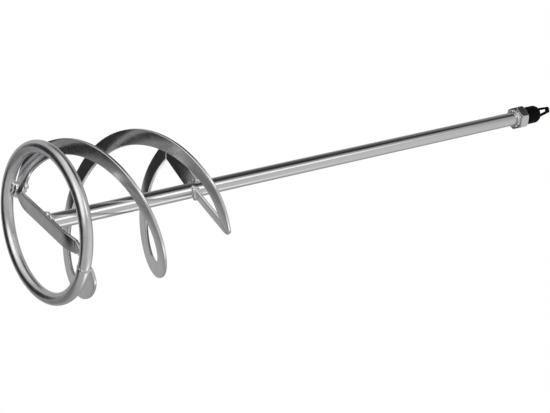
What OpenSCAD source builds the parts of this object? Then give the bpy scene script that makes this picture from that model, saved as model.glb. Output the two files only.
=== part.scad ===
// Mortar mixing paddle for a hand-held mixer drill.
// +Z runs up the shaft to the drive thread, the origin lies below the shaft at the
// height of the ring's lowest point, and +X points along the crossbar to helix A's foot.

/* [Shaft] */
// Diameter of the round bar that the shaft is made of
shaft_d = 14; // [13:0.5:14]
// Height of the drive thread's end
overall_len = 594; // [450:1:700]
// Major diameter of the drive thread
thread_d = 13.68; // [11.7:0.01:13.9]
// Length of the thread above the nut
thread_len = 19; // [14:0.5:20]

/* [Nut] */
// Hexagon size across its flats
nut_af = 22; // [21:1:27]
// Height of the nut
nut_h = 11; // [10:0.5:14]
// Turn of the nut about the shaft
nut_turn = 27; // [0:1:59]

/* [Cap] */
// Outer diameter of the thread cap
cap_d = 18.4; // [18:0.1:22]
// Diameter of the hole in the cap
cap_bore_d = 15.6; // [15.4:0.1:15.8]
// Height of the cap below its hanging loop
cap_h = 21.5; // [21.5:0.5:26]
// Height of the hanging loop
loop_h = 20; // [15:0.5:26]
// Thickness of the hanging loop
loop_t = 3; // [2:0.5:5]
// Turn of the hanging loop about the shaft
loop_turn = 57; // [0:1:180]
// How far the hanging loop leans to one side
loop_lean = 4; // [0:1:8]

/* [Ring] */
// Outer diameter of the ring
ring_od = 140; // [136:1:150]
// Diameter of the round bar that the ring is made of
ring_bar_d = 11; // [10:0.5:12]
// How far the welded ring leans from square to the shaft
ring_lean = 4.6; // [3:0.1:5]
// Direction of the axis that the ring leans about, from +X
ring_lean_dir = 25; // [20:1:30]

/* [Flat bar] */
// Width of the flat bar
bar_w = 14; // [12:0.5:14]
// Thickness of the flat bar
bar_t = 3; // [2.5:0.5:4]
// Radius of the rounded outer corner where the crossbar meets a helix
foot_round = 24; // [16:0.5:24]
// Radius of the rounded outer corner where a helix meets its spoke
tip_round = 13.7; // [10:0.1:16]

/* [Helices] */
// Outer radius of helix A
helix_a_r = 67.8; // [66:0.1:69]
// How far helix A's middle lies off the shaft, towards its first eighth of a turn
helix_a_drift = -0.8; // [-1:0.1:1]
// Rise of helix A in one turn
helix_a_lead = 142; // [136:0.5:150]
// Angle that helix A turns through
helix_a_turn = 379; // [374:0.5:384]
// Outer radius of helix B
helix_b_r = 67; // [65:0.1:67]
// How far helix B's middle lies off the shaft, towards its first eighth of a turn
helix_b_drift = 3; // [-1:0.1:3]
// Rise of helix B in one turn
helix_b_lead = 155; // [150:0.5:157]
// Angle that helix B turns through
helix_b_turn = 373; // [370:0.5:376]
// How far helix B is bent up at its foot
helix_b_lift = 18; // [16:0.5:19]
// How far below the crossbar helix B's foot would lie if it were not bent up
helix_b_drop = 14.3; // [14:0.1:15]

/* [Hidden] */
ROUND = 64;
STEPS = 72;
CUT = 0.01;
joint_gap = 0.4;
drift_dir = 50;
foot_blend = 26;
lift_fade = 70;
tip_blend = 45;
tip_draw = 6;
bead_r = 4.5;
bead_in = 3;
seam_angle = 188;

ring_r = (ring_od - ring_bar_d) / 2;
ring_z = ring_bar_d / 2 + ring_r * sin(ring_lean);
bar_z = ring_z + bar_t / 2;
shaft_foot_z = bar_z + bar_t / 2;
nut_z = overall_len - thread_len - nut_h;
nut_top = nut_z + nut_h;
foot_r = ring_r - ring_bar_d / 2 - joint_gap - bar_w / 2;

// A helix is [outer radius, drift of its middle, lead, turn, lift of its foot, height of its unlifted foot]
HELIX_A = [helix_a_r, helix_a_drift, helix_a_lead, helix_a_turn, 0, bar_z];
HELIX_B = [helix_b_r, helix_b_drift, helix_b_lead, helix_b_turn, helix_b_lift, bar_z - helix_b_drop];

function unit(v) = v / norm(v);
function smooth(u) = u <= 0 ? 0 : u >= 1 ? 1 : u * u * (3 - 2 * u);
function radial(a) = [cos(a), sin(a), 0];
function turn(h) = h[3];

// The middle of helix h at the angle a from its foot: its radius, its height and the point
function mid_r(a, h) = foot_r
    + (h[0] + h[1] * cos(a - drift_dir) - bar_w / 2 - foot_r) * smooth(a / foot_blend)
    - tip_draw * smooth((a - turn(h) + tip_blend) / tip_blend);
function mid_z(a, h) = h[5] + h[2] * a / 360 + h[4] * exp(-pow(a / lift_fade, 2));
function mid(a, h) = mid_r(a, h) * radial(a) + [0, 0, mid_z(a, h)];

// The flat's width lies along the radius. Its lean across the radius grows from level at the foot.
function lean(a, h) = let (d = mid(a + 1, h) - mid(a - 1, h), across = cross([0, 0, 1], radial(a)))
    atan2(d[2], d * across) * smooth(a / foot_blend);
function level(a, h) = cross([0, 0, 1], radial(a)) * cos(lean(a, h)) + [0, 0, sin(lean(a, h))];

// A bar's four corners about the point p: sides i and o reach the inner and the outer edge
function section(p, i, o, n) = [p + i - n, p + o - n, p + o + n, p + i + n];
function half_t(a, h) = cross(radial(a), level(a, h)) * bar_t / 2;
function plain(a, h) = let (e = radial(a) * bar_w / 2) section(mid(a, h), -e, e, half_t(a, h));

// An outer corner rounded to the radius r cuts the mitre at corner(r). Halfway round from there to its
// straight edge it reaches bend(r) to the side, bend_s(r) short of the mitre's middle.
function corner(r) = bar_w / 2 - r * (1 - cos(45));
function bend(r) = bar_w / 2 - r * (1 - cos(22.5));
function bend_s(r) = r - bar_w / 2 - r * sin(22.5);

// The mitred end at a, for a bar that turns by way = -1 or 1, and the slanted section next to a helix's foot
function mitre(a, h, way) = let (d = radial(a) + level(a, h) * way)
    section(mid(a, h), -d * bar_w / 2, d * corner(way < 0 ? foot_round : tip_round), half_t(a, h));
function slant(h) = let (a = bend_s(foot_round) / foot_r * 180 / PI, b = 9)
    section([0, 0, 0], mid(b, h) - radial(b) * bar_w / 2, mid(a, h) + radial(a) * bend(foot_round),
        half_t(b, h));

module sweep(sections) {
    m = len(sections[0]);
    n = len(sections);
    sides = [for (i = [0:n - 2]) for (j = [0:m - 1]) let (a = i * m + j, b = i * m + (j + 1) % m)
        each [[a, b, b + m], [a, b + m, a + m]]];
    foot = [[for (j = [m - 1:-1:0]) j]];
    head = [[for (j = [0:m - 1]) (n - 1) * m + j]];
    polyhedron([for (s = sections) each s], concat(sides, foot, head));
}

module helix(h) {
    start = 12;
    stop = turn(h) - 10;
    sweep(concat([mitre(0, h, -1), slant(h)],
        [for (i = [0:STEPS]) plain(start + (stop - start) * i / STEPS, h)],
        [mitre(turn(h), h, 1)]));
}

module spoke(h) {
    tip = mid(turn(h), h);
    side = level(turn(h), h) * bar_w / 2;
    n = half_t(turn(h), h);
    flat_end = [0, 0, tip[2]];
    elbow = radial(turn(h)) * (mid_r(turn(h), h) - bar_w / 2 - 1) + flat_end;
    difference() {
        sweep([mitre(turn(h), h, 1), section(elbow, -side, side, n), section(flat_end, -side, side, n)]);
        cylinder(d = shaft_d, h = overall_len, $fn = ROUND);
    }
}

module lean_with_ring() {
    translate([0, 0, ring_z]) rotate(a = ring_lean, v = radial(ring_lean_dir)) children();
}

// A bead along the ring's inner back edge, between two angles
module ring_bead(from, to) {
    lean_with_ring() rotate(from) rotate_extrude(angle = to - from, $fn = ROUND)
        translate([ring_r - ring_bar_d / 2 - bead_in, bead_r]) circle(bead_r, $fn = 32);
}

// A bead that crosses the bars' mitre at the angle a, and ends just short of both of its edges
module mitre_bead(a, h, way, r) {
    d = unit(radial(a) + level(a, h) * way);
    short_by = 0.5;
    inner = -bar_w / 2 * sqrt(2) + short_by;
    outer = corner(way < 0 ? foot_round : tip_round) * sqrt(2) - short_by;
    translate(mid(a, h) + d * inner) rotate([0, acos(d[2]), atan2(d[1], d[0])])
        cylinder(r = r, h = outer - inner, $fn = 32);
}

// A bead round the end of a spoke, thickest against the shaft
module spoke_bead(h) {
    sunk = 2;
    bead_len = 3.5;
    root_r = bar_t / 2 + 3.5;
    tip_r = bar_t / 2 + 0.8;
    side = level(turn(h), h) * (bar_w / 2 - sunk);
    base = radial(turn(h)) * (shaft_d / 2 - sunk) + [0, 0, mid_z(turn(h), h)];
    difference() {
        hull() for (k = [-1, 1]) translate(base + side * k) rotate([0, 90, turn(h)])
            cylinder(r1 = root_r, r2 = tip_r, h = sunk + bead_len, $fn = 24);
        cylinder(d = shaft_d, h = overall_len, $fn = ROUND);
        spoke(h);
    }
}

module shaft() {
    thread_r = thread_d / 2;
    color("silver") rotate_extrude($fn = ROUND) polygon([[0, shaft_foot_z], [shaft_d / 2, shaft_foot_z],
        [shaft_d / 2, nut_top], [thread_r, nut_top], [thread_r, overall_len - 1], [thread_r - 1, overall_len],
        [0, overall_len]]);
}

// The chamfer starts on the end face at the rim and runs out past the corners
module hex_nut() {
    corner_r = nut_af / 2 / cos(30);
    rim = nut_af / 2 - 0.4;
    wide = corner_r + 1;
    chamfer = (wide - rim) * tan(30);
    color("lightgray") translate([0, 0, nut_z]) difference() {
        intersection() {
            rotate(nut_turn) cylinder(r = corner_r, h = nut_h, $fn = 6);
            rotate(nut_turn) hull() {
                cylinder(r = rim, h = nut_h, $fn = 36);
                translate([0, 0, chamfer]) cylinder(r = wide, h = nut_h - 2 * chamfer, $fn = 36);
            }
        }
        translate([0, 0, -CUT]) cylinder(d = shaft_d, h = nut_h + 2 * CUT, $fn = ROUND);
    }
}

module thread_cap() {
    bore_h = thread_len + 0.6;
    crown = 3.5;
    color("black") translate([0, 0, nut_top + joint_gap]) {
        rotate_extrude($fn = ROUND) polygon([[cap_bore_d / 2, 0], [cap_d / 2 - 0.5, 0], [cap_d / 2, 0.5],
            [cap_d / 2, cap_h - crown], [cap_d / 2 - crown * 0.3, cap_h - crown * 0.3],
            [cap_d / 2 - crown, cap_h], [0, cap_h], [0, bore_h], [cap_bore_d / 2, bore_h]]);
        rotate(loop_turn) translate([0, loop_t / 2, cap_h - CUT]) rotate([90, 0, 0])
            linear_extrude(loop_t) hanging_loop();
    }
}

// The loop narrows from base to tip, half widths, round a hole that narrows with it
module hanging_loop() {
    base = cap_d / 2 - 3.7;
    tip = 3.2;
    hole_base = base - 3;
    hole_tip = 1;
    hole_top = loop_h - 4.2;
    lean = loop_h * tan(loop_lean);
    difference() {
        polygon([[-base, 0], [base, 0], [tip + lean, loop_h - 1], [tip - 1 + lean, loop_h],
            [1 - tip + lean, loop_h], [lean - tip, loop_h - 1]]);
        polygon([[-hole_base, 1.5], [hole_base, 1.5], [lean + hole_tip, hole_top],
            [lean - hole_tip, hole_top]]);
    }
}

module ring() {
    color("gainsboro") lean_with_ring() rotate_extrude($fn = 96)
        translate([ring_r, 0]) circle(d = ring_bar_d, $fn = 48);
}

// The crossbar lies level under the shaft and rises at its other end to helix B's foot
module crossbar() {
    rise_from = 28;
    full_end = foot_r - bar_w / 2 - 1;
    rise = mid_z(0, HELIX_B) - bar_z;
    side = [0, bar_w / 2, 0];
    n = [0, 0, bar_t / 2];
    round_from = foot_r + bar_w / 2 - foot_round;
    round_mid = foot_r - bend_s(foot_round);
    end_b = mitre(0, HELIX_B, -1);
    function lifted(x) = bar_z + rise * pow(max(0, min(1, (x - rise_from) / (full_end - rise_from))), 2);
    color("gray") sweep(concat(
        [[for (k = [1, 0, 3, 2]) [-end_b[k][0], -end_b[k][1], end_b[k][2]]]],
        [section([0, 0, 0], [-round_mid, bend(foot_round), lifted(round_mid)],
            [-full_end, -bar_w / 2, lifted(full_end)], n)],
        [for (u = [1:-0.25:0]) let (x = rise_from + (round_from - rise_from) * u)
            section([-x, 0, lifted(x)], side, -side, n)],
        [section([round_from, 0, bar_z], side, -side, n),
         section([0, 0, bar_z], [full_end, bar_w / 2, 0], [round_mid, -bend(foot_round), 0], n),
         mitre(0, HELIX_A, -1)]));
}

module helix_a() { color("darkgray") helix(HELIX_A); }
module helix_b() { color("darkgray") rotate(180) helix(HELIX_B); }
module spoke_a() { color("gray") spoke(HELIX_A); }
module spoke_b() { color("gray") rotate(180) spoke(HELIX_B); }

module weld_nut() {
    bead_h = 4;
    rim = nut_af / 2 - 1.5;
    color("white") translate([0, 0, nut_z]) rotate_extrude($fn = ROUND)
        polygon([[shaft_d / 2, -bead_h], [shaft_d / 2, 0], [rim, 0], [rim - 1, -bead_h / 2],
            [shaft_d / 2 + 1, 0.2 - bead_h]]);
}

module weld_shaft_foot() {
    bead = 3;
    overhang = 1;
    color("white") intersection() {
        translate([0, 0, shaft_foot_z]) rotate_extrude($fn = ROUND) polygon([[shaft_d / 2, 0],
            [shaft_d / 2 + bead, 0], [shaft_d / 2 + bead - 1, bead / 2], [shaft_d / 2, bead]]);
        translate([0, 0, shaft_foot_z + bead / 2]) cube([shaft_d + 3 * bead, bar_w + 2 * overhang, 2 * bead],
            center = true);
    }
}

module weld_ring_a() {
    color("white") difference() {
        union() {
            ring_bead(-4, 10);
            mitre_bead(0, HELIX_A, -1, bar_t / 2 + 0.9);
        }
        ring();
        crossbar();
        helix_a();
    }
}

module weld_ring_b() {
    color("white") difference() {
        union() {
            ring_bead(171, 187);
            rotate(180) mitre_bead(0, HELIX_B, -1, bar_t / 2 + 0.9);
        }
        ring();
        crossbar();
        helix_b();
    }
}

module weld_ring_seam() {
    color("white") difference() {
        lean_with_ring() rotate(seam_angle) translate([ring_r, 0, 0]) rotate([90, 0, 0])
            cylinder(d = ring_bar_d + 1.2, h = 2.4, center = true, $fn = ROUND);
        ring();
        weld_ring_b();
        helix_b();
    }
}

module weld_spoke_a() { color("white") spoke_bead(HELIX_A); }
module weld_spoke_b() { color("white") rotate(180) spoke_bead(HELIX_B); }

module weld_corner(h) {
    color("white") difference() {
        mitre_bead(turn(h), h, 1, bar_t / 2 + 0.5);
        helix(h);
        spoke(h);
    }
}
module weld_corner_a() { weld_corner(HELIX_A); }
module weld_corner_b() { rotate(180) weld_corner(HELIX_B); }

shaft();
hex_nut();
thread_cap();
ring();
crossbar();
helix_a();
helix_b();
spoke_a();
spoke_b();
weld_nut();
weld_shaft_foot();
weld_ring_a();
weld_ring_b();
weld_ring_seam();
weld_spoke_a();
weld_spoke_b();
weld_corner_a();
weld_corner_b();
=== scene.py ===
"""Looks for a mortar mixing paddle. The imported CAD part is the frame, and each piece is rebuilt in detail.

Lengths are millimetres in the CAD frame until piece() turns them into metres.
"""
import math
from typing import NamedTuple

import bpy
import numpy as np
from mathutils import Matrix, Vector


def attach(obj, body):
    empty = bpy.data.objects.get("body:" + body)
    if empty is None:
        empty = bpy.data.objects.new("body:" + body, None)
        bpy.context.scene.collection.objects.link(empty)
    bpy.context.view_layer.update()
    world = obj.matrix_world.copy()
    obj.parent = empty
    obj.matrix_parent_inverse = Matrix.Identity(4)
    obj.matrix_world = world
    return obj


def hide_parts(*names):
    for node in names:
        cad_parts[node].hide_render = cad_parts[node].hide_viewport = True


MM = 0.001

# Camera, in the CAD frame
CAMERA_AT = (-0.90007, 0.57405, -0.48924)
CAMERA_LOOK = (0.6827, -0.4642, 0.5643)
CAMERA_UP = (0.4376, 0.8782, 0.1931)
LENS_MM = 91.356
SENSOR_MM = 36.0

# Sizes of the object, as in the CAD source
SHAFT_R = 7.0
OVERALL = 594.0
THREAD_R = 6.84
THREAD_LEN = 19.0
THREAD_PITCH = 2.0
THREAD_DEPTH = 1.2
NUT_AF = 22.0
NUT_H = 11.0
NUT_TURN = 27.0
CAP_R = 9.2
CAP_BORE_R = 7.8
CAP_H = 21.5
CAP_GAP = 0.4
LOOP_H = 20.0
LOOP_T = 3.0
LOOP_TURN = 57.0
LOOP_LEAN = 4.0
RING_R = 64.5
RING_BAR_R = 5.5
RING_LEAN = 4.6
RING_LEAN_DIR = 25.0
SEAM_ANGLE = 188.0
SEAM_NICK = 0.35
HALF_W = 7.0
HALF_T = 1.5
JOINT_GAP = 0.4

RING_Z = RING_BAR_R + RING_R * math.sin(math.radians(RING_LEAN))
BAR_Z = RING_Z + HALF_T
SHAFT_FOOT_Z = BAR_Z + HALF_T
NUT_TOP = OVERALL - THREAD_LEN
NUT_Z = NUT_TOP - NUT_H
FOOT_R = RING_R - RING_BAR_R - JOINT_GAP - HALF_W


class Helix(NamedTuple):
    """Size and place of a helix. It turns by turn degrees, and drift shifts it towards DRIFT_DIR."""
    outer_r: float
    drift: float
    lead: float
    turn: float
    lift: float
    start_z: float


HELIX_B_DROP = 14.3
HELIX_A = Helix(67.8, -0.8, 142.0, 379.0, 0.0, BAR_Z)
HELIX_B = Helix(67.0, 3.0, 155.0, 373.0, 18.0, BAR_Z - HELIX_B_DROP)
DRIFT_DIR = 50.0
FOOT_BLEND = 26.0
TIP_BLEND = 45.0
TIP_DRAW = 6.0
LIFT_FADE = 70.0

# The flat bar's edges, its mitres' rounded outer corners, and how far from the mitre an end straightens.
# The crossbar bends up from RISE_FROM outwards.
EDGE_R = 0.8
FOOT_ROUND = 24.0
TIP_ROUND = 13.7
END_BLEND = 14.0
RISE_FROM = 28.0

# The floor leans as if the paddle lay on it on helix A and the nut, but is lower, to clear the pulled-off cap
FLOOR_TILT = 7.06
FLOOR_Y = -80.0
FLOOR_AT_Z = 118.0


def smooth(u):
    """An eased step from 0 to 1."""
    u = min(max(u, 0.0), 1.0)
    return u * u * (3 - 2 * u)


def radial(a):
    """The direction out from the shaft at a degrees."""
    return np.array([math.cos(math.radians(a)), math.sin(math.radians(a)), 0.0])


def across(a):
    """The direction round the shaft at a degrees."""
    return np.array([-math.sin(math.radians(a)), math.cos(math.radians(a)), 0.0])


def turned(points, angle):
    """Points turned about the shaft."""
    c, s = math.cos(math.radians(angle)), math.sin(math.radians(angle))
    return np.asarray(points) @ np.array([[c, s, 0], [-s, c, 0], [0, 0, 1]])


def on_ring(a, r, z):
    """A point at angle a in the leaning ring's own frame."""
    lean = Matrix.Rotation(math.radians(RING_LEAN), 3, Vector(radial(RING_LEAN_DIR)))
    return np.array(lean @ Vector(radial(a) * r + np.array([0, 0, z]))) + np.array([0, 0, RING_Z])


# Mesh helpers


def piece(name, verts, faces, finish, body, nodes):
    """Makes a mesh piece that rides on a CAD body and stands for CAD nodes."""
    mesh = bpy.data.meshes.new(name)
    mesh.from_pydata([tuple(float(c) * MM for c in v) for v in verts], [], faces)
    mesh.materials.append(finish)
    mesh.validate()
    mesh.shade_smooth()
    mesh.set_sharp_from_angle(angle=math.radians(30))
    obj = bpy.data.objects.new(name, mesh)
    bpy.context.scene.collection.objects.link(obj)
    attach(obj, body)
    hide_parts(*nodes)
    return obj


def skin(sections, closed=False):
    """Verts and faces of a tube through equal loops of points, with flat ends unless it closes up."""
    n, m = len(sections), len(sections[0])
    verts = np.concatenate([np.asarray(s) for s in sections])
    faces = []
    for i in range(n if closed else n - 1):
        for j in range(m):
            a, b = i * m + j, i * m + (j + 1) % m
            c, d = (b + m) % (n * m), (a + m) % (n * m)
            faces.append((a, b, c, d))
    if not closed:
        faces.append(tuple(range(m - 1, -1, -1)))
        faces.append(tuple(range((n - 1) * m, n * m)))
    return verts, faces


def lathe(profile, sides=96):
    """Verts and faces of a profile of (radius, height) turned about Z, open where it starts and ends."""
    verts, faces = [], []
    for r, z in profile:
        for k in range(sides):
            verts.append(radial(360 * k / sides) * r + np.array([0, 0, z]))
    for i in range(len(profile) - 1):
        for k in range(sides):
            a, b = i * sides + k, i * sides + (k + 1) % sides
            faces.append((a, b, b + sides, a + sides))
    return verts, faces


def fused(obj, voxel, rounds):
    """Melts the overlapping shells of a piece into one soft skin."""
    remesh = obj.modifiers.new("melt", "REMESH")
    remesh.mode = "VOXEL"
    remesh.voxel_size = voxel * MM
    soften = obj.modifiers.new("soften", "SMOOTH")
    soften.factor = 0.5
    soften.iterations = rounds
    made = bpy.data.meshes.new_from_object(obj.evaluated_get(bpy.context.evaluated_depsgraph_get()))
    obj.modifiers.clear()
    made.materials.clear()
    made.materials.append(obj.data.materials[0])
    obj.data = made
    made.shade_smooth()
    return obj


# Flat bars


def mid_r(a, h):
    """Radius of the middle of helix h's bar at a degrees: from the ring out to full size, then drawn in."""
    full = h.outer_r + h.drift * math.cos(math.radians(a - DRIFT_DIR)) - HALF_W
    drawn_in = TIP_DRAW * smooth((a - h.turn + TIP_BLEND) / TIP_BLEND)
    return FOOT_R + (full - FOOT_R) * smooth(a / FOOT_BLEND) - drawn_in


def mid_z(a, h):
    """Height of the middle of helix h's bar at a degrees."""
    return h.start_z + h.lead * a / 360 + h.lift * math.exp(-((a / LIFT_FADE) ** 2))


def mid(a, h):
    """The middle of helix h's bar at a degrees."""
    return mid_r(a, h) * radial(a) + np.array([0, 0, mid_z(a, h)])


def level(a, h):
    """The direction in which the flat lies level across the radius, leaning up along the helix."""
    d = mid(a + 1, h) - mid(a - 1, h)
    lean = math.atan2(d[2], d @ across(a)) * smooth(a / FOOT_BLEND)
    return across(a) * math.cos(lean) + np.array([0, 0, math.sin(lean)])


def bar_loop(lo, hi):
    """The bar's outline from lo to hi across its width: (across, up) pairs with rounded edges."""
    steps = 5
    r = min(EDGE_R, (hi - lo) / 2.2)
    corners = [(hi - r, HALF_T - EDGE_R, 0), (lo + r, HALF_T - EDGE_R, 90),
               (lo + r, EDGE_R - HALF_T, 180), (hi - r, EDGE_R - HALF_T, 270)]
    loop = []
    for w, n, start in corners:
        for k in range(steps):
            t = math.radians(start + 90 * k / (steps - 1))
            loop.append((w + r * math.cos(t), n + EDGE_R * math.sin(t)))
    return loop


def end_limits(s, r):
    """Limits across the bar at s past the middle of a mitre with its outer corner rounded to r."""
    bend = HALF_W - r
    outer = HALF_W if s <= bend else bend + math.sqrt(max(r ** 2 - (s - bend) ** 2, 0))
    return max(-HALF_W, s), outer


def mitre_reach(r):
    """How far past the middle of a mitre its outer tip lies."""
    return HALF_W - r + r / math.sqrt(2)


def end_steps(start, r):
    """Places from start up to the mitre's outer tip."""
    return list(np.linspace(start, mitre_reach(r) - 0.05, 24))


def bar_points(origin, wide, up, limits):
    """The bar's outline as points in space."""
    return [origin + wide * w + up * n for w, n in bar_loop(*limits)]


def helix_points(h, a, s, way):
    """A section of helix h at a degrees. Near an end, s past its mitre, it becomes a straight bar."""
    e, u = radial(a), level(a, h)
    limits = (-HALF_W, HALF_W) if s is None else end_limits(s, TIP_ROUND if way > 0 else FOOT_ROUND)
    curved = np.array(bar_points(mid(a, h), e, np.cross(e, u), limits))
    if s is None:
        return curved
    end = h.turn if way > 0 else 0
    e, u = radial(end), level(end, h)
    straight = np.array(bar_points(mid(end, h) + u * s * way, e, np.cross(e, u), limits))
    k = smooth((s + END_BLEND) / END_BLEND)
    return curved * (1 - k) + straight * k


def helix_sections(h):
    """Helix h's sections from its foot at the crossbar to its tip at the spoke."""
    turn = h.turn
    foot_deg = math.degrees(1 / mid_r(0, h))
    tip_deg = math.degrees(1 / mid_r(turn, h))
    foot = [helix_points(h, -s * foot_deg, s, -1) for s in reversed(end_steps(-END_BLEND, FOOT_ROUND))]
    tip = [helix_points(h, turn + s * tip_deg, s, 1) for s in end_steps(-END_BLEND, TIP_ROUND)]
    count = 150
    first, last = END_BLEND * foot_deg, turn - END_BLEND * tip_deg
    run = [helix_points(h, first + (last - first) * i / count, None, 0) for i in range(1, count)]
    return foot + run + tip


def spoke_sections(h):
    """The spoke's sections from inside the shaft out to helix h's tip."""
    a = h.turn
    e, u = radial(a), level(a, h)
    up = np.cross(e, u)
    middle = mid(a, h)
    root = SHAFT_R - 1.5 - mid_r(a, h)
    steps = list(np.linspace(root, -END_BLEND, 12))[:-1] + end_steps(-END_BLEND, TIP_ROUND)
    return [bar_points(middle + e * s, u, up, end_limits(s, TIP_ROUND)) for s in steps]


def crossbar_sections():
    """The crossbar from helix B's foot, where it bends up, to helix A's foot."""
    rise = mid_z(0, HELIX_B) - BAR_Z
    full_end = FOOT_R - HALF_W - 1
    steps = list(np.linspace(-FOOT_R, -END_BLEND, 30))[:-1] + end_steps(-END_BLEND, FOOT_ROUND)
    up = np.array([0, 0, 1.0])
    sections = []
    for way, order in ((-1, reversed(steps)), (1, steps[1:])):
        for s in order:
            x = (FOOT_R + s) * way
            lifted = min(max((-x - RISE_FROM) / (full_end - RISE_FROM), 0), 1)
            at = np.array([x, 0, BAR_Z + rise * lifted ** 2])
            loop = bar_points(at, np.array([0, -1.0 * way, 0]), up, end_limits(s, FOOT_ROUND))
            sections.append(loop if way > 0 else mirrored(loop))
    return sections


def mirrored(loop):
    """The same loop of a bar's outline, listed so that it joins the loops of a bar seen the other way."""
    n = len(loop) // 4
    parts = [loop[i * n:(i + 1) * n] for i in range(4)]
    return [p for k in (1, 0, 3, 2) for p in reversed(parts[k])]


# Round parts


def thread_radius(phase):
    """Radius of an M14 thread at a share of its pitch: a flat crest, 60-degree flanks and a rounded root."""
    flank = abs(phase - 0.5) * 2
    return THREAD_R - THREAD_DEPTH * smooth((1 - flank) * 1.25 - 0.12)


def shaft_mesh():
    """The shaft with its foot's chamfer and the thread."""
    sides = 96
    rows = [(5.5, SHAFT_FOOT_Z), (SHAFT_R - 0.4, SHAFT_FOOT_Z), (SHAFT_R, SHAFT_FOOT_Z + 0.4)]
    rows += [(SHAFT_R, z) for z in np.linspace(SHAFT_FOOT_Z + 8, NUT_TOP - 1.2, 60)]
    rows += [(SHAFT_R - 0.6, NUT_TOP - 0.6)]
    verts, faces = lathe(rows, sides)
    verts = list(verts)
    start = (len(rows) - 1) * sides
    thread_rows = 190
    for i in range(1, thread_rows + 1):
        z = NUT_TOP - 0.6 + (OVERALL - NUT_TOP + 0.6) * i / thread_rows
        tip = OVERALL - z
        for k in range(sides):
            phase = (z / THREAD_PITCH - k / sides) % 1.0
            r = min(thread_radius(phase), THREAD_R - 1.0 + tip)
            verts.append(radial(360 * k / sides) * r + np.array([0, 0, z]))
        base = start + i * sides
        for k in range(sides):
            a, b = base + k - sides, base + (k + 1) % sides - sides
            faces.append((a, b, b + sides, a + sides))
    faces.append(tuple(range(sides - 1, -1, -1)))
    faces.append(tuple(range(len(verts) - sides, len(verts))))
    return verts, faces


def hex_radius(a):
    """The nut's radius at a degrees."""
    return NUT_AF / 2 / math.cos(math.radians((a - NUT_TURN) % 60 - 30))


def nut_mesh():
    """The nut, chamfered to a cone at both faces and at the mouths of its bore."""
    sides = 144
    bore, mouth, mouth_depth = 7.0, 7.7, 0.7
    rim = NUT_AF / 2 - 0.4
    slope = math.tan(math.radians(30))
    columns = []
    for k in range(sides):
        a = NUT_TURN + 360 * k / sides
        r = hex_radius(a)
        cut = (r - rim) * slope
        columns.append([(bore, mouth_depth), (mouth, 0.0), (rim, 0.0), (r, cut), (r, NUT_H - cut),
                        (rim, NUT_H), (mouth, NUT_H), (bore, NUT_H - mouth_depth)])
    n = len(columns[0])
    verts = [radial(NUT_TURN + 360 * k / sides) * r + np.array([0, 0, NUT_Z + z])
             for k in range(sides) for r, z in columns[k]]
    faces = []
    for k in range(sides):
        here, after = k * n, (k + 1) % sides * n
        for i in range(n):
            j = (i + 1) % n
            faces.append((here + i, after + i, after + j, here + j))
    return verts, faces


def ring_mesh():
    """The ring, with a shallow groove where its two ends meet."""
    around, sides = 300, 40
    sections = []
    for i in range(around):
        a = SEAM_ANGLE + 360 * i / around
        off = min(i, around - i) * 360 / around
        nick = SEAM_NICK * math.exp(-off ** 2)
        loop = []
        for k in range(sides):
            t = 360 * k / sides
            r = RING_BAR_R - nick
            loop.append(on_ring(a, RING_R + r * math.cos(math.radians(t)), r * math.sin(math.radians(t))))
        sections.append(loop)
    return skin(sections, closed=True)


def cap_mesh():
    """The cap's body and its loop as two shells, to be melted together."""
    crown = 3.5
    base = NUT_TOP + CAP_GAP
    bore_h = THREAD_LEN + 0.6
    profile = [(0.01, bore_h), (CAP_BORE_R, bore_h), (CAP_BORE_R, 0.4), (CAP_BORE_R + 0.3, 0.0),
               (CAP_R - 0.5, 0.0), (CAP_R, 0.5), (CAP_R, CAP_H - crown),
               (CAP_R - crown * 0.3, CAP_H - crown * 0.3), (CAP_R - crown, CAP_H), (0.01, CAP_H)]
    verts, faces = lathe(profile)
    verts = [v + np.array([0, 0, base]) for v in verts]
    sides = len(verts) // len(profile)
    faces.append(tuple(range(sides - 1, -1, -1)))
    faces.append(tuple(range(len(verts) - sides, len(verts))))
    outer, inner = loop_outline()
    n = len(outer)
    start = len(verts)
    for y in (-LOOP_T / 2, LOOP_T / 2):
        for x, z in outer + inner:
            verts.append(turned([x, y, z + base], LOOP_TURN))
    back = start + 2 * n
    for i in range(n):
        j = (i + 1) % n
        faces.append((start + i, start + j, start + n + j, start + n + i))
        faces.append((back + j, back + i, back + n + i, back + n + j))
        faces.append((start + j, start + i, back + i, back + j))
        faces.append((start + n + i, start + n + j, back + n + j, back + n + i))
    return verts, faces


def loop_outline():
    """The hanging loop's outer and inner outlines, as matching lists of (across, up)."""
    base, tip, rim = 5.5, 3.2, 2.2
    lean = LOOP_H * math.tan(math.radians(LOOP_LEAN))
    low, high = CAP_H - 1.0, CAP_H + LOOP_H
    outer = [(-base, low), (base, low), (tip + lean, high - 1.2), (tip - 1.2 + lean, high),
             (1.2 - tip + lean, high), (lean - tip, high - 1.2)]
    hole_low, hole_high = CAP_H + 1.5, CAP_H + LOOP_H - rim - 2
    inner = [(rim - base + 0.8, hole_low), (base - rim - 0.8, hole_low), (lean + 1.1, hole_high),
             (lean + 0.7, hole_high + 0.3), (lean - 0.5, hole_high + 0.3), (lean - 0.9, hole_high)]
    return outer, inner


# Welds


def ball(centre, r):
    """Verts and faces of a small ball."""
    rings, sides = 8, 12
    loops = []
    for i in range(1, rings):
        t = math.pi * i / rings
        loops.append([centre + np.array([math.sin(t) * math.cos(2 * math.pi * k / sides),
                                         math.sin(t) * math.sin(2 * math.pi * k / sides),
                                         math.cos(t)]) * r for k in range(sides)])
    return skin(loops)


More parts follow.
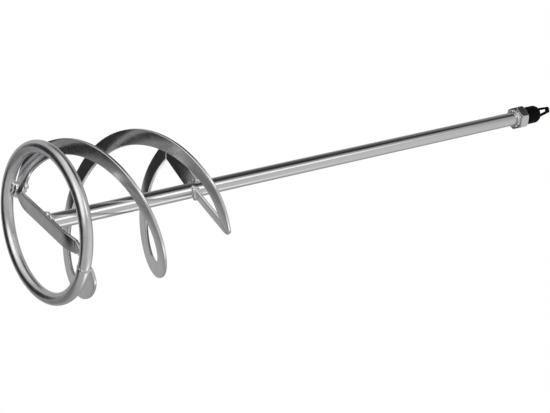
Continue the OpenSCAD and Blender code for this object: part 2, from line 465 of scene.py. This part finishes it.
def weld(name, blobs, finish):
    """A lumpy bead melted from balls, given as (centre, radius)."""
    verts, faces = [], []
    for centre, r in blobs:
        v, f = ball(np.asarray(centre, float), r)
        faces += [tuple(i + len(verts) for i in face) for face in f]
        verts += list(v)
    obj = piece(name + "_bead", verts, faces, finish, "paddle", [name])
    return fused(obj, 0.4, 3)


def along(points, r, seed, spacing=1.1, jitter=0.25):
    """Balls along a path, unevenly sized and set, as a hand-run bead is."""
    rng = np.random.default_rng(seed)
    points = [np.asarray(p, float) for p in points]
    blobs = []
    for p, q in zip(points, points[1:]):
        count = max(1, round(np.linalg.norm(q - p) / spacing))
        for i in range(count):
            at = p + (q - p) * (i + 0.5) / count + rng.normal(0, jitter, 3) * r * 0.4
            blobs.append((at, r * (1 + rng.uniform(-jitter, jitter))))
    return blobs


def ring_weld(a_from, a_to, seed):
    """Lumps that bridge the gap between the ring's inner side and the rounded corner of the bars."""
    inner = RING_R - RING_BAR_R
    blobs = []
    for r, z in ((inner - 0.6, 1.6), (inner - 3.4, 3.6), (inner - 0.2, 5.2)):
        path = [on_ring(a, r, z) for a in np.linspace(a_from, a_to, 8)]
        blobs += along(path, 2.6, seed + round(z), 2.6, 0.35)
    return blobs


def inner_lumps(h, seed, turn_by=0.0):
    """Lumps along the inner edge of helix h just above its corner with the crossbar."""
    edge = [mid(a, h) - radial(a) * HALF_W for a in (8, 11, 14)]
    return along([turned(p, turn_by) for p in edge], 2.0, seed, 1.4, 0.3)


def mitre_weld(h, end, way, r, seed, turn_by=0.0):
    """A bead across the mitre at one end of helix h, on both faces of the bar."""
    e, u = radial(end), level(end, h)
    d = e + u * way
    up = np.cross(e, u)
    reach = mitre_reach(TIP_ROUND if way > 0 else FOOT_ROUND)
    blobs = []
    for side in (-1, 1):
        offset = up * side * (HALF_T - r * 0.55)
        path = [mid(end, h) + d * k + offset for k in np.linspace(-HALF_W, reach, 6)]
        blobs += along([turned(p, turn_by) for p in path], r, seed + side, 0.8, 0.2)
    return blobs


def spoke_weld(h, seed, turn_by=0.0):
    """A bead round a spoke's end where it meets the shaft."""
    a = h.turn
    e, u = radial(a), level(a, h)
    up = np.cross(e, u)
    base = np.array([0, 0, mid_z(a, h)])
    path = []
    for w, n in [(-6.6, -1.5), (-4, -2.2), (0, -2.4), (4, -2.2), (6.8, -1.2), (7.4, 0), (6.8, 1.2),
                 (4, 2.2), (0, 2.4), (-4, 2.2), (-6.6, 1.5), (-7.2, 0), (-6.6, -1.5)]:
        out = math.sqrt(max(SHAFT_R ** 2 - min(abs(w), 6.2) ** 2, 0)) + 0.4
        path.append(turned(base + e * out + u * w + up * n, turn_by))
    return along(path, 1.9, seed, 1.5, 0.4)


def collar(r_at, z, r, seed):
    """A bead right round the shaft."""
    path = [radial(a) * r_at + np.array([0, 0, z]) for a in np.linspace(0, 360, 28)]
    return along(path, r, seed)


def foot_weld(seed):
    """A bead round the shaft's foot that keeps to the crossbar's width."""
    path = []
    for a in np.linspace(0, 360, 33):
        r = radial(a) * (SHAFT_R + 0.5)
        path.append(np.array([r[0], max(-6.2, min(6.2, r[1])), SHAFT_FOOT_Z + 0.5]))
    return along(path, 2.0, seed, 1.8, 0.3)


def seam_weld(seed):
    """A fine bead right round the ring's bar, with a fuller run on its outer side."""
    centre = on_ring(SEAM_ANGLE, RING_R, 0)
    out = on_ring(SEAM_ANGLE, RING_R + 1, 0) - centre
    up = on_ring(SEAM_ANGLE, RING_R, 1) - centre

    def at(angles, sunk):
        return [centre + (out * math.cos(t) + up * math.sin(t)) * (RING_BAR_R - sunk) for t in angles]

    collar_round = along(at(np.linspace(0, 2 * math.pi, 26), 0.5), 1.1, seed, 1.0, 0.35)
    return collar_round + along(at(np.linspace(-0.5, 0.6, 6), 1.6), 1.9, seed + 1, 1.7, 0.3)


# Materials


def node_tree(name):
    """A new material, its nodes and its shader."""
    finish = bpy.data.materials.new(name)
    finish.use_nodes = True
    tree = finish.node_tree
    return finish, tree, tree.nodes["Principled BSDF"]


def noise(tree, scale, detail=4.0, stretch=(1, 1, 1)):
    """Noise in the object's own space, with scale in lumps per metre."""
    where = tree.nodes.new("ShaderNodeTexCoord")
    mapping = tree.nodes.new("ShaderNodeMapping")
    mapping.inputs["Scale"].default_value = stretch
    tex = tree.nodes.new("ShaderNodeTexNoise")
    tex.inputs["Scale"].default_value = scale
    tex.inputs["Detail"].default_value = detail
    tree.links.new(where.outputs["Object"], mapping.inputs["Vector"])
    tree.links.new(mapping.outputs["Vector"], tex.inputs["Vector"])
    return tex.outputs["Fac"]


def ramp(tree, value, low, high):
    """Maps noise to two greys or colours and what lies between."""
    node = tree.nodes.new("ShaderNodeValToRGB")
    for stop, colour, where in zip(node.color_ramp.elements, (low, high), (0.3, 0.7)):
        stop.position = where
        stop.color = (*colour, 1) if isinstance(colour, tuple) else (colour, colour, colour, 1)
    tree.links.new(value, node.inputs["Fac"])
    return node.outputs["Color"]


def bump(tree, shader, height, strength, distance):
    """Raises the surface by a noise, distance in metres."""
    node = tree.nodes.new("ShaderNodeBump")
    node.inputs["Strength"].default_value = strength
    node.inputs["Distance"].default_value = distance
    tree.links.new(height, node.inputs["Height"])
    tree.links.new(node.outputs["Normal"], shader.inputs["Normal"])


def zinc(name, rough, pale, speckle, stretch=(1, 1, 1)):
    """Bright zinc plating: satin metal with cloudy patches and a fine grain."""
    finish, tree, shader = node_tree(name)
    shader.inputs["Metallic"].default_value = 1.0
    clouds = noise(tree, 60, 5.0, stretch)
    colour = ramp(tree, clouds, tuple(c * 0.84 for c in pale), pale)
    tree.links.new(colour, shader.inputs["Base Color"])
    grain = noise(tree, 330, 2.0, stretch)
    tree.links.new(ramp(tree, grain, rough[0], rough[1]), shader.inputs["Roughness"])
    bump(tree, shader, grain, speckle, 0.0006)
    return finish


def black_plastic():
    """Matt black soft plastic with a faint moulded grain."""
    finish, tree, shader = node_tree("black_soft_plastic")
    shader.inputs["Roughness"].default_value = 0.55
    shader.inputs["Specular IOR Level"].default_value = 0.05
    grain = noise(tree, 900, 3.0)
    colour = ramp(tree, grain, (0.0015, 0.0015, 0.002), (0.003, 0.003, 0.004))
    tree.links.new(colour, shader.inputs["Base Color"])
    bump(tree, shader, grain, 0.1, 0.0003)
    return finish


# Stage


def floor_normal():
    """The direction up from the floor."""
    t = math.radians(FLOOR_TILT)
    return Vector((0, math.cos(t), -math.sin(t)))


def floor():
    """A plain white floor that is clear from below, so it hides nothing from a camera under it."""
    size = 6.0
    normal = floor_normal()
    along_z = Vector((0, normal.z, -normal.y))
    side = Vector((1, 0, 0))
    centre = Vector((0, FLOOR_Y, FLOOR_AT_Z)) * MM
    around = ((-1, -1), (1, -1), (1, 1), (-1, 1))
    corners = [centre + side * i * size + along_z * j * size for i, j in around]
    mesh = bpy.data.meshes.new("floor")
    mesh.from_pydata([tuple(c) for c in corners], [], [(0, 1, 2, 3)])
    obj = bpy.data.objects.new("floor", mesh)
    bpy.context.scene.collection.objects.link(obj)
    finish = bpy.data.materials.new("floor_white")
    finish.use_nodes = True
    tree = finish.node_tree
    tree.nodes.clear()
    out = tree.nodes.new("ShaderNodeOutputMaterial")
    glow = tree.nodes.new("ShaderNodeEmission")
    glow.inputs["Strength"].default_value = 1.0
    clear = tree.nodes.new("ShaderNodeBsdfTransparent")
    facing = tree.nodes.new("ShaderNodeNewGeometry")
    mix = tree.nodes.new("ShaderNodeMixShader")
    tree.links.new(facing.outputs["Backfacing"], mix.inputs["Fac"])
    tree.links.new(glow.outputs["Emission"], mix.inputs[1])
    tree.links.new(clear.outputs["BSDF"], mix.inputs[2])
    tree.links.new(mix.outputs["Shader"], out.inputs["Surface"])
    mesh.materials.append(finish)
    obj.visible_glossy = False
    obj.visible_diffuse = False
    obj.visible_shadow = False


# The studio: plain grey all round, with soft cards set up in it. Each card has a direction, in degrees to
# the right of the camera's look and degrees up, the angles from it at which the card is full and gone, and
# a brightness.
ROOM = 0.45
CARDS = (
    ("floor_shade", 0, -90, 20, 70, 0.36),
    ("right_wall", 110, -25, 15, 60, 0.66),
    ("overhead", 180, 80, 15, 55, 0.8),
    ("left_shade", -96, -42, 6, 36, 0.2),
    ("left_flag", -82, 8, 19, 33, 0.03),
    ("low_left_flag", -103, -8, 13, 23, 0.02),
    ("rear_left_flag", -115, 11, 16, 29, 0.03),
    ("ahead_flag", 2, 34, 10, 26, 0.12),
    ("front_flag", 43, 48, 8, 27, 0.03),
    ("soft_box", -168, 47, 12, 32, 1.25),
    ("rear_strip", 104, 32, 5, 15, 1.6),
    ("low_strip", 117, -48, 5, 16, 1.4),
    ("top_strip", -25, 67, 5, 16, 0.85),
)


def studio_direction(right_of_look, up):
    """A direction in the CAD frame from angles seen by someone who stands on the floor behind the camera."""
    normal = floor_normal()
    look = Vector(CAMERA_LOOK)
    ahead = (look - normal * look.dot(normal)).normalized()
    right = ahead.cross(normal)
    a, e = math.radians(right_of_look), math.radians(up)
    return (ahead * math.cos(a) + right * math.sin(a)) * math.cos(e) + normal * math.sin(e)


def studio():
    """A pale room whose cards give the metal its bands. The camera itself sees plain white."""
    world = bpy.data.worlds.new("studio")
    bpy.context.scene.world = world
    world.use_nodes = True
    tree = world.node_tree
    tree.nodes.clear()
    where = tree.nodes.new("ShaderNodeTexCoord")
    light = background(tree, ROOM)
    for name, right_of_look, up, middle, edge, brightness in CARDS:
        card = background(tree, brightness)
        toward = tree.nodes.new("ShaderNodeVectorMath")
        toward.operation = "DOT_PRODUCT"
        toward.inputs[1].default_value = studio_direction(right_of_look, up)
        tree.links.new(where.outputs["Generated"], toward.inputs[0])
        fade = tree.nodes.new("ShaderNodeMapRange")
        fade.name = name
        fade.interpolation_type = "SMOOTHSTEP"
        fade.inputs["From Min"].default_value = math.cos(math.radians(edge))
        fade.inputs["From Max"].default_value = math.cos(math.radians(middle))
        tree.links.new(toward.outputs["Value"], fade.inputs["Value"])
        light = mixed(tree, fade.outputs["Result"], light, card)
    seen = tree.nodes.new("ShaderNodeLightPath")
    out = tree.nodes.new("ShaderNodeOutputWorld")
    shown = mixed(tree, seen.outputs["Is Camera Ray"], light, background(tree, 1.0))
    tree.links.new(shown, out.inputs["Surface"])


def background(tree, brightness):
    """Even grey light."""
    node = tree.nodes.new("ShaderNodeBackground")
    node.inputs["Color"].default_value = (1, 1, 1, 1)
    node.inputs["Strength"].default_value = brightness
    return node.outputs["Background"]


def mixed(tree, share, first, second):
    """Two shaders mixed, where share is how much of the second shows."""
    node = tree.nodes.new("ShaderNodeMixShader")
    tree.links.new(share, node.inputs["Fac"])
    tree.links.new(first, node.inputs[1])
    tree.links.new(second, node.inputs[2])
    return node.outputs["Shader"]


def camera():
    """The camera, fitted to the object's outline."""
    data = bpy.data.cameras.new("camera")
    data.lens = LENS_MM
    data.sensor_width = SENSOR_MM
    data.clip_start = 0.01
    obj = bpy.data.objects.new("camera", data)
    back = -Vector(CAMERA_LOOK).normalized()
    right = Vector(CAMERA_UP).cross(back).normalized()
    up = back.cross(right)
    turn = Matrix((right, up, back)).transposed().to_4x4()
    obj.matrix_world = Matrix.Translation(CAMERA_AT) @ turn
    bpy.context.scene.collection.objects.link(obj)
    bpy.context.scene.camera = obj


# The object


def bars(finish):
    """The flat bars. Helix B and its spoke are half a turn round from helix A and its own."""
    for name, verts_faces, turn_by in (
        ("crossbar", skin(crossbar_sections()), 0),
        ("helix_a", skin(helix_sections(HELIX_A)), 0),
        ("helix_b", skin(helix_sections(HELIX_B)), 180),
        ("spoke_a", skin(spoke_sections(HELIX_A)), 0),
        ("spoke_b", skin(spoke_sections(HELIX_B)), 180),
    ):
        verts, faces = verts_faces
        piece(name + "_bar", turned(verts, turn_by), faces, finish, "paddle", [name])


def welds(finish):
    """The beads, each named as the CAD node that it stands for."""
    weld("weld_ring_a", ring_weld(-2, 9, 11) + mitre_weld(HELIX_A, 0, -1, 0.8, 12)
         + inner_lumps(HELIX_A, 13), finish)
    weld("weld_ring_b", ring_weld(174, 185, 21) + mitre_weld(HELIX_B, 0, -1, 0.8, 22, 180)
         + inner_lumps(HELIX_B, 23, 180), finish)
    weld("weld_ring_seam", seam_weld(31), finish)
    weld("weld_shaft_foot", foot_weld(41), finish)
    weld("weld_spoke_a", spoke_weld(HELIX_A, 51), finish)
    weld("weld_spoke_b", spoke_weld(HELIX_B, 61, 180), finish)
    weld("weld_corner_a", mitre_weld(HELIX_A, HELIX_A.turn, 1, 0.6, 71), finish)
    weld("weld_corner_b", mitre_weld(HELIX_B, HELIX_B.turn, 1, 0.6, 81, 180), finish)
    weld("weld_nut", collar(SHAFT_R + 0.6, NUT_Z - 1.0, 1.7, 91), finish)


def build():
    """Every piece with its material."""
    bright = (0.78, 0.78, 0.79)
    brighter = (0.84, 0.84, 0.85)
    brightest = (0.86, 0.86, 0.87)
    bar_zinc = zinc("zinc_drawn_bar", (0.12, 0.2), bright, 0.1, (1, 1, 0.04))
    ring_zinc = zinc("zinc_bent_bar", (0.17, 0.27), brighter, 0.06)
    flat_zinc = zinc("zinc_flat_bar", (0.16, 0.24), bright, 0.02)
    nut_zinc = zinc("zinc_nut", (0.12, 0.2), bright, 0.05)
    weld_zinc = zinc("zinc_weld", (0.05, 0.12), brightest, 0.05)
    verts, faces = shaft_mesh()
    piece("shaft_bar", verts, faces, bar_zinc, "paddle", ["shaft"])
    verts, faces = ring_mesh()
    piece("ring_bar", verts, faces, ring_zinc, "paddle", ["ring"])
    verts, faces = nut_mesh()
    nut = piece("nut", verts, faces, nut_zinc, "paddle", ["hex_nut"])
    soften = nut.modifiers.new("edges", "BEVEL")
    soften.width = 0.3 * MM
    soften.segments = 2
    bars(flat_zinc)
    welds(weld_zinc)
    verts, faces = cap_mesh()
    cap = piece("cap", verts, faces, black_plastic(), "cap", ["thread_cap"])
    fused(cap, 0.35, 2)


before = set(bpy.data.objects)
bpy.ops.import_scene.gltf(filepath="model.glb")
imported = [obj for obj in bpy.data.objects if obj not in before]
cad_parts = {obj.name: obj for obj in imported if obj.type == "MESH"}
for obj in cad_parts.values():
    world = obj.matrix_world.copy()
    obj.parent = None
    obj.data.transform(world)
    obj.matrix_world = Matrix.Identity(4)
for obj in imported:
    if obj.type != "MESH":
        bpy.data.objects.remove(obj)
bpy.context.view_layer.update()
camera()
studio()
floor()
build()
bpy.context.scene.view_settings.view_transform = "Standard"
